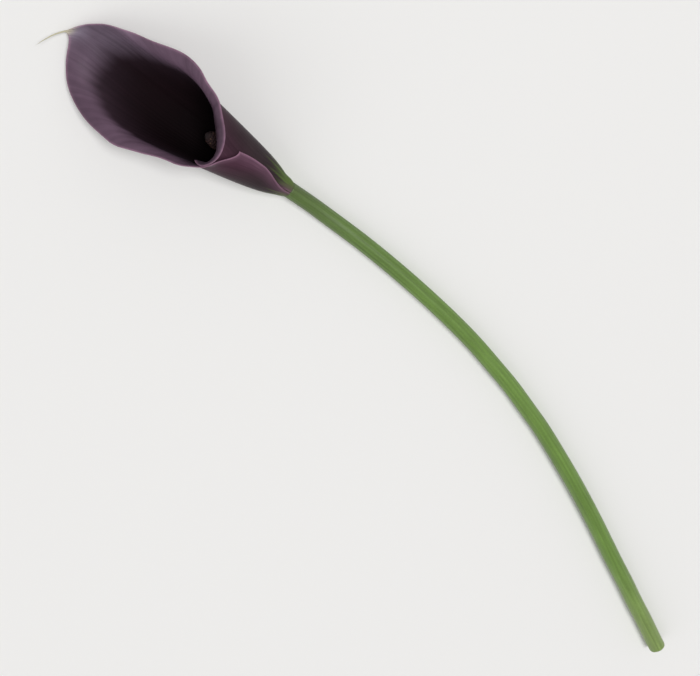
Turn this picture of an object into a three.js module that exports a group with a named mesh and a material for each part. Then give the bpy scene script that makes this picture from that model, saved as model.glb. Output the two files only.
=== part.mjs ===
// Arum lily flower, cut: one wrapped spathe on its green scape, with the spadix standing inside.
// Millimetres, +Z up. The flower lies on its back: the back of the limb and the scape touch z = 0.
// The head points along +X, the cut end of the scape is at -X.
import * as THREE from "three";

// Spathe: lengths along the blade, from the base ring to the rim.
const BASE_RADIUS = 4.1;
const BLADE_THICKNESS = 1.0;
const WRAP_SPACING = 1.6;
const LENGTH_FRONT = 62.5;
const LENGTH_BACK = 132;
const POINT_LENGTH = 7;
const POINT_WIDTH = 0.18;
const TAIL_LENGTH = 15;
const TAIL_ROOT = 5;
const TAIL_SWEEP = -17;
const TAIL_HALF_WIDTH = 0.017;
const TAIL_TAPER = 0.55;
const ROLL_BAND = 14;
const SPATHE_AROUND = 56;
const SPATHE_ALONG = 28;
const TAIL_SHARE = 0.08;
const HIDDEN_CORNER = 30;
const SHOWN_CORNER = 22;

// How the blade leans, in degrees, and where it does so, in radians from its back.
const FLARE = 40;
const SIDE_LOSS = 22;
const BACK_LOSS = 12;
const MIDRIB_LOSS = 7;
const SKEW = 6;
const KEEL = 12;
const LIP = 5.7;
const SHOULDER = 18.4;
const SHOULDER_AT = 0.85;
const TUCK = 18;
const TUCK_AT = -2.15;
const RIM_ROLL = 75;
const RIM_EASE = 21;
const RIM_EASE_AT = 1.15;
const RIM_TUCK = 37;
const SEAM_AT = Math.PI + 0.5;
const TIP_LIFT = 46;
const TAIL_HOOK = 70;

// Pose of the head.
const TILT = THREE.MathUtils.degToRad(12);
const ROLL = THREE.MathUtils.degToRad(3);
const HEADING = THREE.MathUtils.degToRad(13);
const REST_DEPTH = 0.6;

// Scape: the green stalk.
const SCAPE_LENGTH = 430;
const NECK_RADIUS = 4.6;
const CUT_RADIUS = 5.7;
const SCAPE_TURN = THREE.MathUtils.degToRad(24);
const SCAPE_BEND = 330;
const SCAPE_SIDES = 18;
const SCAPE_RINGS = 30;
const CUT_SLANT = 0.22;
const SEAT_GAP = 0.3;
const SPIGOT_RADIUS = 3.25;
const SPIGOT_TOP = 3.0;

// Spadix.
const SPADIX_LENGTH = 54;
const SPADIX_RADIUS = 3.7;
const SPADIX_SIDES = 24;
const OVARY_ROWS = 6;
const OVARY_STEP = 2.1;
const ANTHER_STEP = 1.5;
const OVARY_RELIEF = 0.65;
const ANTHER_RELIEF = 0.45;

// 0 before a, 1 after b, with an even slope at both ends.
function smooth(a, b, x) {
  const t = Math.min(Math.max((x - a) / (b - a), 0), 1);
  return t * t * (3 - 2 * t);
}

function clamp(x, low, high) {
  return Math.min(Math.max(x, low), high);
}

// Angle brought into -pi..pi; 0 is the back of the spathe, pi its front.
function wrapAngle(angle) {
  const turn = 2 * Math.PI;
  return ((((angle + Math.PI) % turn) + turn) % turn) - Math.PI;
}

// Soft hump of height 1 round one direction of the funnel.
function hump(angle, centre, width) {
  return Math.exp(-Math.pow(wrapAngle(angle - centre) / width, 2));
}

// Length of the blade from base to rim at each angle, without the point.
function rimLength(angle) {
  const back = (1 + Math.cos(angle)) / 2;
  const even = 2 * Math.cos(2 * angle) - 4.5 * Math.sin(2 * angle);
  const odd = Math.sin(3 * angle + 0.6) - 1.5 * Math.sin(angle);
  return LENGTH_FRONT + (LENGTH_BACK - LENGTH_FRONT) * Math.pow(back, 1.05) + even + odd;
}

// Lean of the blade away from the axis, in radians, at a length m above the base.
function lean(angle, m) {
  const back = (1 + Math.cos(angle)) / 2;
  const side = Math.sin(angle);
  const rim = rimLength(angle);
  const start = 38 + 19 * back;
  const open = clamp((m - start) / (rim - start), 0, 1.15);
  const tube = 9 + 30 * Math.exp(-m / 10) - 22 * Math.exp(-m / 2.5);
  const narrow = SIDE_LOSS * side * side + BACK_LOSS * back + MIDRIB_LOSS * Math.pow(back, 4);
  const gain = KEEL * hump(angle, 0, 0.32) + LIP * hump(angle, Math.PI, 0.9);
  const loss = SHOULDER * hump(angle, SHOULDER_AT, 0.6) + TUCK * hump(angle, TUCK_AT, 0.5);
  const flare = (FLARE - narrow - SKEW * side + gain - loss) * Math.pow(open, 1.6);
  const nearTip = hump(angle, 0, 0.42);
  const band = clamp((m - (rim - ROLL_BAND)) / ROLL_BAND, 0, 1.3);
  const waves = 11 * Math.sin(5 * angle + 1) - 3 * Math.sin(2 * angle + 0.9) + 3.5 * side;
  const eased = RIM_EASE * hump(angle, RIM_EASE_AT, 0.6) + RIM_TUCK * hump(angle, TUCK_AT, 0.5);
  const held = (1 - nearTip) * (1 - 0.85 * hump(angle, 0, 0.9)) * (1 - 0.6 * hump(angle, SEAM_AT, 0.42));
  const roll = (RIM_ROLL + waves - eased) * held * Math.pow(band, 1.3);
  const lift = -TIP_LIFT * hump(angle, 0, 0.8) * smooth(LENGTH_BACK - 26, LENGTH_BACK + 4, m);
  const tailEnd = LENGTH_BACK + POINT_LENGTH + TAIL_LENGTH;
  const hook = -TAIL_HOOK * nearTip * smooth(tailEnd - 12, tailEnd + 2, m);
  return THREE.MathUtils.degToRad(tube + flare + roll + lift + hook);
}

// Middle surface of the spathe in its own axes: x to the side, y to the back, z along the axis.
function bladePoint(angle, m) {
  const samples = 48;
  let outward = 0;
  let upward = 0;
  for (let k = 0; k < samples; k += 1) {
    const psi = lean(angle, (m * (k + 0.5)) / samples);
    outward += Math.sin(psi);
    upward += Math.cos(psi);
  }
  const radius = BASE_RADIUS + (outward * m) / samples;
  const start = LENGTH_BACK + POINT_LENGTH - TAIL_ROOT;
  const along = clamp((m - start) / (TAIL_LENGTH + TAIL_ROOT), 0, 1);
  const sweep = TAIL_SWEEP * Math.pow(along, 1.7) * hump(angle, 0, 0.5);
  return new THREE.Vector3(
    radius * Math.sin(angle) + sweep,
    radius * Math.cos(angle),
    (upward * m) / samples
  );
}

// Direction out of the funnel, square to the blade.
function bladeNormal(angle, m) {
  const around = bladePoint(angle + 1e-3, m).sub(bladePoint(angle - 1e-3, m));
  const along = bladePoint(angle, m + 0.05).sub(bladePoint(angle, m - 0.05));
  return along.cross(around).normalize();
}

// How far each margin passes the front line, in radians. The margin on the plus side lies inside.
function overlap(m, plusSide) {
  const grow = smooth(2, 26, m);
  if (plusSide) {
    return -0.04 + grow * (1.35 - 0.35 * smooth(30, 78, m));
  }
  return -0.04 + grow * (0.55 - 0.4 * smooth(30, 70, m));
}

// Angle and length of the grid point (u, v): u runs from margin to margin, v from base to rim.
function gridPlace(u, v) {
  const plusSide = u >= 0;
  const q = Math.abs(u);
  const sign = u < 0 ? -1 : 1;
  const root = TAIL_HALF_WIDTH / Math.PI;
  const beyond = clamp((q - TAIL_SHARE) / (1 - TAIL_SHARE), 0, 1);
  let atRim = root + (1 - root) * Math.pow(beyond, 1.25);
  if (q < TAIL_SHARE) {
    atRim = root * Math.pow(q / TAIL_SHARE, TAIL_TAPER);
  }
  const bend = smooth(0.35, 1, v);
  const share = q * (1 - bend) + atRim * bend;
  const rimAngle = sign * atRim * (Math.PI + overlap(LENGTH_FRONT, plusSide));
  const pastFront = clamp((rimAngle - Math.PI - 0.15) / 0.9, 0, 1);
  const hiddenCorner = 1 - Math.sqrt(1 - pastFront * pastFront);
  const shownCorner = smooth(Math.PI - 0.85, Math.PI + 0.2, -rimAngle);
  let length = rimLength(rimAngle) + POINT_LENGTH * Math.exp(-Math.abs(rimAngle) / POINT_WIDTH);
  length -= HIDDEN_CORNER * hiddenCorner + SHOWN_CORNER * shownCorner;
  if (q < TAIL_SHARE) {
    length += TAIL_LENGTH * (1 - q / TAIL_SHARE);
  }
  const m = v * length;
  return { angle: sign * share * (Math.PI + overlap(m, plusSide)), m };
}

// Spiral set-off to the inside that keeps the plus margin clear of the minus margin around it.
function wrapOffset(angle, m) {
  const spread = smooth(0, 6, m) * smooth(0, 8, m);
  return (WRAP_SPACING * spread * (angle + Math.PI + 0.6)) / (2 * Math.PI);
}

// Axes of the head: along the flower, to its back, to its side.
const axisDir = new THREE.Vector3(Math.cos(TILT), 0, Math.sin(TILT));
const backFlat = new THREE.Vector3(Math.sin(TILT), 0, -Math.cos(TILT));
const sideFlat = backFlat.clone().cross(axisDir);
const backDir = backFlat.clone().multiplyScalar(Math.cos(ROLL));
backDir.addScaledVector(sideFlat, Math.sin(ROLL));
const sideDir = sideFlat.clone().multiplyScalar(Math.cos(ROLL));
sideDir.addScaledVector(backFlat, -Math.sin(ROLL));

function headToWorld(p) {
  const out = new THREE.Vector3();
  out.addScaledVector(sideDir, p.x);
  out.addScaledVector(backDir, p.y);
  out.addScaledVector(axisDir, p.z);
  return out;
}

function makeSkins() {
  const outer = [];
  const inner = [];
  for (let i = 0; i <= SPATHE_AROUND; i += 1) {
    for (let j = 0; j <= SPATHE_ALONG; j += 1) {
      const place = gridPlace(-1 + (2 * i) / SPATHE_AROUND, j / SPATHE_ALONG);
      const middle = bladePoint(place.angle, place.m);
      const normal = bladeNormal(place.angle, place.m);
      middle.addScaledVector(normal, -wrapOffset(place.angle, place.m));
      const shift = normal.multiplyScalar(BLADE_THICKNESS / 2);
      outer.push(headToWorld(middle.clone().add(shift)));
      inner.push(headToWorld(middle.clone().sub(shift)));
    }
  }
  return { outer, inner };
}

const skins = makeSkins();
let lowest = Infinity;
for (const p of skins.outer) {
  lowest = Math.min(lowest, p.z);
}
const BASE_HEIGHT = -lowest - REST_DEPTH;

const turn = new THREE.Matrix4().makeRotationZ(HEADING);

function toFrame(p) {
  return p.clone().applyMatrix4(turn).add(centreShift);
}

// Centre line of the scape: (x, y, z) at s millimetres behind the neck, before the heading turn.
function scapeRadius(s) {
  return NECK_RADIUS + (CUT_RADIUS - NECK_RADIUS) * smooth(0, SCAPE_LENGTH, s);
}

function scapeLine(s) {
  const steps = 60;
  let x = 0;
  let y = 0;
  for (let k = 0; k < steps; k += 1) {
    const part = (s * (k + 0.5)) / steps;
    const yaw = SCAPE_TURN * smooth(0, SCAPE_BEND, part);
    x -= (Math.cos(yaw) * s) / steps;
    y += (Math.sin(yaw) * s) / steps;
  }
  const drop = BASE_HEIGHT - NECK_RADIUS;
  const reach = (2 * drop) / Math.tan(TILT);
  const left = Math.max(1 - s / reach, 0);
  return new THREE.Vector3(x, y, scapeRadius(s) + drop * left * left);
}

// Frame of the scape at s: forward (to the head), right and up.
function scapeFrame(s) {
  const a = scapeLine(Math.max(s - 0.5, 0));
  const b = scapeLine(Math.max(s - 0.5, 0) + 1);
  const forward = s < 0.5 ? axisDir.clone() : a.sub(b).normalize();
  const right = forward.clone().cross(new THREE.Vector3(0, 0, 1)).normalize();
  const up = right.clone().cross(forward).normalize();
  return { centre: scapeLine(s), forward, right, up };
}

function ring(frame, radius, sides, slant) {
  const out = [];
  for (let k = 0; k < sides; k += 1) {
    const angle = (2 * Math.PI * (k + 0.5)) / sides;
    const p = frame.centre.clone();
    p.addScaledVector(frame.right, radius * Math.cos(angle));
    p.addScaledVector(frame.up, radius * Math.sin(angle));
    p.addScaledVector(frame.forward, slant * radius * Math.sin(angle));
    out.push(p);
  }
  return out;
}

// Closed skin over a row of rings, with a point in the middle of both ends.
function lathe(rings, first, last) {
  const points = [first];
  const faces = [];
  const n = rings[0].length;
  for (const row of rings) {
    points.push(...row);
  }
  points.push(last);
  const end = points.length - 1;
  for (let k = 0; k < n; k += 1) {
    const next = (k + 1) % n;
    faces.push([0, 1 + next, 1 + k]);
    for (let r = 0; r < rings.length - 1; r += 1) {
      const a = 1 + r * n + k;
      const b = 1 + r * n + next;
      faces.push([a, b, b + n], [a, b + n, a + n]);
    }
    const base = 1 + (rings.length - 1) * n;
    faces.push([base + k, base + next, end]);
  }
  return { points, faces };
}

function makeScape() {
  const rings = [];
  const cut = scapeFrame(SCAPE_LENGTH);
  for (let r = 0; r <= SCAPE_RINGS; r += 1) {
    const s = SCAPE_LENGTH * (1 - r / SCAPE_RINGS);
    const frame = scapeFrame(s);
    if (r === SCAPE_RINGS) {
      frame.centre.addScaledVector(axisDir, -0.15 - SEAT_GAP);
    }
    rings.push(ring(frame, scapeRadius(s), SCAPE_SIDES, r === 0 ? CUT_SLANT : 0));
  }
  const neck = scapeFrame(0);
  neck.centre.addScaledVector(axisDir, -0.15 - SEAT_GAP);
  rings.push(ring(neck, SPIGOT_RADIUS, SCAPE_SIDES, 0));
  const top = scapeFrame(0);
  top.centre.addScaledVector(axisDir, SPIGOT_TOP);
  rings.push(ring(top, SPIGOT_RADIUS - 0.1, SCAPE_SIDES, 0));
  return lathe(rings, cut.centre.clone(), top.centre.clone());
}

// Thickness of the spadix along its length, 0 at its foot to 1 at its tip.
function spadixRadius(t) {
  const foot = 0.84 + 0.16 * smooth(0, 0.12, t);
  const waist = 1 - 0.1 * Math.exp(-Math.pow((t - 0.27) / 0.06, 2));
  const belly = 1 + 0.07 * Math.sin(Math.PI * clamp((t - 0.3) / 0.7, 0, 1));
  const tip = Math.sqrt(Math.max(1 - Math.pow(clamp((t - 0.86) / 0.14, 0, 1), 2), 0));
  return SPADIX_RADIUS * foot * waist * belly * tip;
}

function makeSpadix() {
  const rings = [];
  let z = 0;
  let row = 0;
  while (z < SPADIX_LENGTH - 0.8) {
    const low = row < OVARY_ROWS;
    const relief = low ? OVARY_RELIEF : ANTHER_RELIEF;
    const edge = smooth(0, 1.5, z) * smooth(0, 5, SPADIX_LENGTH - z);
    const points = [];
    for (let k = 0; k < SPADIX_SIDES; k += 1) {
      const raised = (row + k) % 2 === 0;
      const radius = spadixRadius(z / SPADIX_LENGTH) + (raised ? relief * edge : 0);
      const angle = (2 * Math.PI * k) / SPADIX_SIDES;
      const foot = SPIGOT_TOP + SEAT_GAP + z;
      points.push(new THREE.Vector3(radius * Math.cos(angle), radius * Math.sin(angle), foot));
    }
    rings.push(points);
    z += low ? OVARY_STEP : ANTHER_STEP;
    row += 1;
  }
  const foot = new THREE.Vector3(0, 0, SPIGOT_TOP + SEAT_GAP);
  const tip = new THREE.Vector3(0, 0, SPIGOT_TOP + SEAT_GAP + SPADIX_LENGTH);
  const body = lathe(rings, foot, tip);
  // Each cell is split along its two low corners, so that every floret is a small raised diamond.
  const n = SPADIX_SIDES;
  const faces = [];
  for (let k = 0; k < n; k += 1) {
    const next = (k + 1) % n;
    faces.push([0, 1 + next, 1 + k]);
    for (let r = 0; r < rings.length - 1; r += 1) {
      const a = 1 + r * n + k;
      const b = 1 + r * n + next;
      if ((r + k) % 2 === 0) {
        faces.push([a, b, a + n], [b, b + n, a + n]);
      } else {
        faces.push([a, b, b + n], [a, b + n, a + n]);
      }
    }
    const base = 1 + (rings.length - 1) * n;
    faces.push([base + k, base + next, body.points.length - 1]);
  }
  const points = body.points.map((p) => {
    const out = headToWorld(p);
    out.z += BASE_HEIGHT;
    return out;
  });
  return { points, faces };
}

// Two skins of one blade, split into triangles alike, joined round the edge.
function makeSpathe() {
  const rows = SPATHE_AROUND + 1;
  const cols = SPATHE_ALONG + 1;
  // Where the limb lies on the ground the soft blade gives way, both skins alike.
  const lift = skins.outer.map((p) => BASE_HEIGHT + Math.max(-(p.z + BASE_HEIGHT), 0));
  const raise = (p, k) => new THREE.Vector3(p.x, p.y, p.z + lift[k]);
  const points = skins.outer.map(raise);
  points.push(...skins.inner.map(raise));
  const n = rows * cols;
  const faces = [];
  for (let i = 0; i < rows - 1; i += 1) {
    for (let j = 0; j < cols - 1; j += 1) {
      const a = i * cols + j;
      const b = a + cols;
      const c = b + 1;
      const d = a + 1;
      const flip = i >= SPATHE_AROUND / 2;
      const pair = flip ? [[a, b, c], [a, c, d]] : [[a, b, d], [b, c, d]];
      for (const [p, q, r] of pair) {
        faces.push([p, q, r], [n + p, n + r, n + q]);
      }
    }
  }
  const loop = [];
  for (let j = 0; j < cols; j += 1) {
    loop.push(j);
  }
  for (let i = 1; i < rows; i += 1) {
    loop.push(i * cols + cols - 1);
  }
  for (let j = cols - 2; j >= 0; j -= 1) {
    loop.push((rows - 1) * cols + j);
  }
  for (let i = rows - 2; i > 0; i -= 1) {
    loop.push(i * cols);
  }
  for (let k = 0; k < loop.length; k += 1) {
    const p = loop[k];
    const q = loop[(k + 1) % loop.length];
    faces.push([p, q, n + q], [p, n + q, n + p]);
  }
  return { points, faces };
}

// Volume inside a closed skin; below zero where its faces look inward.
function signedVolume(body) {
  let sum = 0;
  for (const [a, b, c] of body.faces) {
    sum += body.points[a].dot(body.points[b].clone().cross(body.points[c]));
  }
  return sum / 6;
}

const spathe = makeSpathe();
const spadix = makeSpadix();
const scape = makeScape();

// The frame stands at the middle of the bottom of the whole flower.
const box = new THREE.Box3();
for (const body of [spathe, spadix, scape]) {
  for (const p of body.points) {
    box.expandByPoint(p.clone().applyMatrix4(turn));
  }
}
const centreShift = new THREE.Vector3();
centreShift.x = -(box.min.x + box.max.x) / 2;
centreShift.y = -(box.min.y + box.max.y) / 2;
centreShift.z = 0;

function toMesh(name, body, colour, roughness) {
  const inward = signedVolume(body) < 0;
  const flat = [];
  for (const p of body.points) {
    const q = toFrame(p);
    flat.push(q.x, q.y, q.z);
  }
  const index = [];
  for (const [a, b, c] of body.faces) {
    if (inward) {
      index.push(a, c, b);
    } else {
      index.push(a, b, c);
    }
  }
  const geometry = new THREE.BufferGeometry();
  geometry.setAttribute("position", new THREE.Float32BufferAttribute(flat, 3));
  geometry.setIndex(index);
  geometry.computeVertexNormals();
  const material = new THREE.MeshStandardMaterial({ color: colour, roughness, metalness: 0 });
  const mesh = new THREE.Mesh(geometry, material);
  mesh.name = name;
  return mesh;
}

const group = new THREE.Group();
group.name = "arum_lily_flower";
group.add(toMesh("scape", scape, 0x5f8a3c, 0.55));
group.add(toMesh("spathe", spathe, 0x4a2238, 0.45));
group.add(toMesh("spadix", spadix, 0x5a2c2e, 0.7));

export default group;
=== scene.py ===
# %% [markdown]
# # A dark arum lily, cut and laid on its back
# This lesson builds one cut arum lily (also called a calla lily) of the near-black kind. The real
# flower has three pieces. A smooth green stalk, the scape, carries one large coloured leaf, the
# spathe, which is wrapped into a funnel and ends in a thin tail. Inside the funnel stands the
# spadix, a spike set with hundreds of tiny florets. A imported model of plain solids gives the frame
# and the sizes, and every piece here is a finer surface that takes the place of one of its solids.

import math

import bpy
import numpy as np
from mathutils import Matrix, Vector


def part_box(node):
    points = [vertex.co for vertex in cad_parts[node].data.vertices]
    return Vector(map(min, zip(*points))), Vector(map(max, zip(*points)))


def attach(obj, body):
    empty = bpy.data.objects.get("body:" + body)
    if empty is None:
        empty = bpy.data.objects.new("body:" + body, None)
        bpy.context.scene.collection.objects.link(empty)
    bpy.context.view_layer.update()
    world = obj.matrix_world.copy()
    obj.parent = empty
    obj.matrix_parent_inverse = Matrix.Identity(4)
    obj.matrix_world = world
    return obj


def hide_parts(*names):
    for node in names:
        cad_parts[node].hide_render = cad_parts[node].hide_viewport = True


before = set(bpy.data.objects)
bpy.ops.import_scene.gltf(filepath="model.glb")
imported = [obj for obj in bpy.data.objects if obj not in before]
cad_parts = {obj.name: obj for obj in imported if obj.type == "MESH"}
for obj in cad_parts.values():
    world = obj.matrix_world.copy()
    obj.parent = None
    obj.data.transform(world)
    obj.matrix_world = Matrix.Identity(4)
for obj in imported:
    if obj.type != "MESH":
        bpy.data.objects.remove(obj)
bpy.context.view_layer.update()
MM = 0.001

# %% [markdown]
# ## The sizes
# The spathe was once a flat leaf. It is easiest to describe by lengths along its skin: from the
# stalk to the front lip, and from the stalk to the tip at the back. The other numbers say where
# its margin rolls back, how the flower lies, and how long and thick the stalk is. They are the
# solids' own millimetres, save for the tail, which is 2 mm shorter here and bends a little more.

# %% Named sizes
BASE_RADIUS = 4.1
SOLID_THICKNESS = 1.0
WRAP_SPACING = 1.6
LENGTH_FRONT = 62.5
LENGTH_BACK = 132.0
POINT_LENGTH = 7.0
POINT_WIDTH = 0.18
TAIL_LENGTH = 13.0
TAIL_ROOT = 5.0
TAIL_SWEEP = -21.0
SWEEP_EASE = 2.16
TAIL_HALF_WIDTH = 0.017
TAIL_TAPER = 0.55
TAIL_SHARE = 0.08
HIDDEN_CORNER = 30.0
SHOWN_CORNER = 22.0
ROLL_BAND = 14.0
TILT = math.radians(12)
ROLL = math.radians(3)
HEADING = math.radians(13)
REST_DEPTH = 0.6
SCAPE_LENGTH = 430.0
NECK_RADIUS = 4.6
CUT_RADIUS = 5.7
SCAPE_TURN = math.radians(24)
SCAPE_BEND = 330.0
CUT_SLANT = 0.22
SPADIX_FOOT = 3.3
SPADIX_LENGTH = 54.0
SPADIX_RADIUS = 3.7
print("stalk to the end of the tail in mm:", LENGTH_BACK + POINT_LENGTH + TAIL_LENGTH)

# %% [markdown]
# ## Small tools
# A few helpers shape nearly everything below. `smooth` fades from 0 to 1 with no kink, and `bell`
# is a soft hump round zero. `wrapped` brings an angle back between minus and plus half a turn,
# because the margins of the spathe run past the front and overlap, and `hump` is a bell round
# one direction of the funnel.


# %% Helpers
def smooth(a, b, x):
    """0 before a, 1 after b, and 3t^2 - 2t^3 between them."""
    t = np.clip((x - a) / (b - a), 0, 1)
    return t * t * (3 - 2 * t)


def bell(x, width):
    """e to the minus (x over width) squared."""
    return np.exp(-((x / width) ** 2))


def wrapped(angle):
    """The same angle between -pi and pi. 0 is the back of the spathe, pi its front."""
    return (angle + np.pi) % (2 * np.pi) - np.pi


def hump(angle, centre, width):
    """A bell round one direction of the funnel."""
    return bell(wrapped(angle - centre), width)


print("a fade at its quarter, half and three quarters:", smooth(0, 1, np.array([0.25, 0.5, 0.75])))

# %% [markdown]
# ## The form of the spathe
# A lathe or a squashed cone would give a trumpet with the same lip all round. A real spathe is
# high at the back, low at the front and rolled back by different amounts. So each line of the
# leaf is walked from the stalk to the rim: at every length `m` a formula gives how far it leans
# away from the middle axis, and adding up those small steps gives its profile. That keeps the
# leaf's true length, whatever way it bends.

# %% How the leaf leans in degrees, and where: in radians from its back, or mm from the stalk
TUBE_LEAN = 9.0
BASE_SPREAD = 30.0
BASE_WAIST = 22.0
OPENS_AT = 38.0
OPENS_LATER = 19.0
FLARE = 40.0
SIDE_LOSS = 22.0
BACK_LOSS = 12.0
MIDRIB_LOSS = 7.0
SKEW = 6.0
KEEL = 12.0
LIP = 5.7
SHOULDER = 18.4
SHOULDER_AT = 0.85
TUCK = 18.0
TUCK_AT = -2.15
RIM_ROLL = 75.0
RIM_EASE = 21.0
RIM_EASE_AT = 1.15
RIM_TUCK = 37.0
SEAM_AT = np.pi + 0.5
TIP_LIFT = 46.0
TAIL_HOOK = 70.0
PROFILE_STEPS = 48


# %% Profile of the leaf
def rim_length(angle):
    """Length from stalk to rim: the front's, plus more towards the back, plus slow waves."""
    back = (1 + np.cos(angle)) / 2
    even = 2 * np.cos(2 * angle) - 4.5 * np.sin(2 * angle)
    odd = np.sin(3 * angle + 0.6) - 1.5 * np.sin(angle)
    return LENGTH_FRONT + (LENGTH_BACK - LENGTH_FRONT) * back**1.05 + even + odd


def lean(angle, m):
    """Lean in radians: a slim tube, a flare that opens it, a rolled rim, a raised tip, a hook."""
    back = (1 + np.cos(angle)) / 2
    side = np.sin(angle)
    rim = rim_length(angle)
    start = OPENS_AT + OPENS_LATER * back
    opened = np.clip((m - start) / (rim - start), 0, 1.15)
    tube = TUBE_LEAN + BASE_SPREAD * np.exp(-m / 10) - BASE_WAIST * np.exp(-m / 2.5)
    narrow = SIDE_LOSS * side**2 + BACK_LOSS * back + MIDRIB_LOSS * back**4
    gain = KEEL * hump(angle, 0, 0.32) + LIP * hump(angle, np.pi, 0.9)
    loss = SHOULDER * hump(angle, SHOULDER_AT, 0.6) + TUCK * hump(angle, TUCK_AT, 0.5)
    flare = (FLARE - narrow - SKEW * side + gain - loss) * opened**1.6
    near_tip = hump(angle, 0, 0.42)
    band = np.clip((m - (rim - ROLL_BAND)) / ROLL_BAND, 0, 1.3)
    waves = 11 * np.sin(5 * angle + 1) - 3 * np.sin(2 * angle + 0.9) + 3.5 * side
    eased = RIM_EASE * hump(angle, RIM_EASE_AT, 0.6) + RIM_TUCK * hump(angle, TUCK_AT, 0.5)
    held = (1 - near_tip) * (1 - 0.85 * hump(angle, 0, 0.9)) * (1 - 0.6 * hump(angle, SEAM_AT, 0.42))
    roll = (RIM_ROLL + waves - eased) * held * band**1.3
    lift = -TIP_LIFT * hump(angle, 0, 0.8) * smooth(LENGTH_BACK - 26, LENGTH_BACK + 4, m)
    tail_end = LENGTH_BACK + POINT_LENGTH + TAIL_LENGTH
    hook = -TAIL_HOOK * near_tip * smooth(tail_end - 12, tail_end + 2, m)
    return np.radians(tube + flare + roll + lift + hook)


def blade_point(angle, m):
    """Adds up small steps of sine and cosine of the lean, then sweeps the tail sideways."""
    part = (np.arange(PROFILE_STEPS) + 0.5) / PROFILE_STEPS
    psi = lean(angle[..., None], m[..., None] * part)
    radius = BASE_RADIUS + np.sin(psi).mean(-1) * m
    along_axis = np.cos(psi).mean(-1) * m
    start = LENGTH_BACK + POINT_LENGTH - TAIL_ROOT
    along = np.clip((m - start) / (TAIL_LENGTH + TAIL_ROOT), 0, None)
    eased = along**1.7 - SWEEP_EASE * np.clip(along - 0.7, 0, None) ** 2
    sweep = TAIL_SWEEP * eased * hump(angle, 0, 0.5)
    side = radius * np.sin(angle) + sweep
    return np.stack([side, radius * np.cos(angle), along_axis], -1)


def blade_normal(angle, m):
    """Out of the funnel, square to the skin: the cross product of its two directions."""
    around = blade_point(angle + 1e-3, m) - blade_point(angle - 1e-3, m)
    along = blade_point(angle, m + 0.05) - blade_point(angle, m - 0.05)
    out = np.cross(along, around)
    return out / np.linalg.norm(out, axis=-1, keepdims=True)


print("leaf lengths at back, side, front:", rim_length(np.array([0, np.pi / 2, np.pi])).round(1))

# %% [markdown]
# ## A grid over the leaf
# The leaf is covered by lines that start at the stalk and fan out to the rim, as its veins do.
# `u` runs from one margin to the other and `v` from the stalk to the rim. Towards the tip the
# lines crowd together and run out into the tail. The two margins pass each other at the front,
# and their top corners are rounded off, as on a real leaf.


# %% Grid of the leaf
def overlap(m, plus_side):
    """Radians by which a margin passes the front: none at the stalk, most at a third of the way."""
    grow = smooth(2, 26, m)
    inside = 1.35 - 0.35 * smooth(30, 78, m)
    outside = 0.55 - 0.4 * smooth(30, 70, m)
    return -0.04 + grow * np.where(plus_side, inside, outside)


def grid_place(u, v):
    """Angle, length from the stalk, and whole length of the line, for each (u, v). The angle is a
    share of the way round to the margin, and the length is v times the whole length."""
    q = np.abs(u)
    plus_side = u >= 0
    root = TAIL_HALF_WIDTH / np.pi
    beyond = np.clip((q - TAIL_SHARE) / (1 - TAIL_SHARE), 0, 1)
    fan = root + (1 - root) * beyond**1.25
    at_rim = np.where(q < TAIL_SHARE, root * (q / TAIL_SHARE) ** TAIL_TAPER, fan)
    bend = smooth(0.35, 1, v)
    share = q * (1 - bend) + at_rim * bend
    rim_angle = np.sign(u) * at_rim * (np.pi + overlap(LENGTH_FRONT, plus_side))
    past_front = np.clip((rim_angle - np.pi - 0.15) / 0.9, 0, 1)
    hidden = 1 - np.sqrt(1 - past_front**2)
    shown = smooth(np.pi - 0.85, np.pi + 0.2, -rim_angle)
    length = rim_length(rim_angle) + POINT_LENGTH * np.exp(-np.abs(rim_angle) / POINT_WIDTH)
    length = length - HIDDEN_CORNER * hidden - SHOWN_CORNER * shown
    length = length + TAIL_LENGTH * np.clip(1 - q / TAIL_SHARE, 0, 1)
    m = v * length
    angle = np.sign(u) * share * (np.pi + overlap(m, plus_side))
    return angle, m, length


def wrap_offset(angle, m):
    """A slow spiral inwards, so that the inner margin stays clear of the outer one."""
    spread = smooth(0, 6, m) * smooth(0, 8, m)
    return WRAP_SPACING * spread * (angle + np.pi + 0.6) / (2 * np.pi)


print("margins pass the front by, at 26 mm:", overlap(26.0, np.array([False, True])).round(2))

# %% [markdown]
# ## How the flower lies
# The head's own axes are turned into the frame: its axis rises 12 degrees from the surface, its
# back points down, and the whole flower is turned a little so that stalk and head lie along X.
# The solid's own coarse grid gives the same height and place again, which ties the fine surface
# to the solid that it stands for.

# %% From the head's axes to the frame
axis_dir = np.array([math.cos(TILT), 0, math.sin(TILT)])
back_flat = np.array([math.sin(TILT), 0, -math.cos(TILT)])
side_flat = np.cross(back_flat, axis_dir)
back_dir = back_flat * math.cos(ROLL) + side_flat * math.sin(ROLL)
side_dir = side_flat * math.cos(ROLL) - back_flat * math.sin(ROLL)
HEAD_AXES = np.stack([side_dir, back_dir, axis_dir])
TURN = np.array(
    [
        [math.cos(HEADING), math.sin(HEADING), 0],
        [-math.sin(HEADING), math.cos(HEADING), 0],
        [0, 0, 1],
    ]
)

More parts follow.
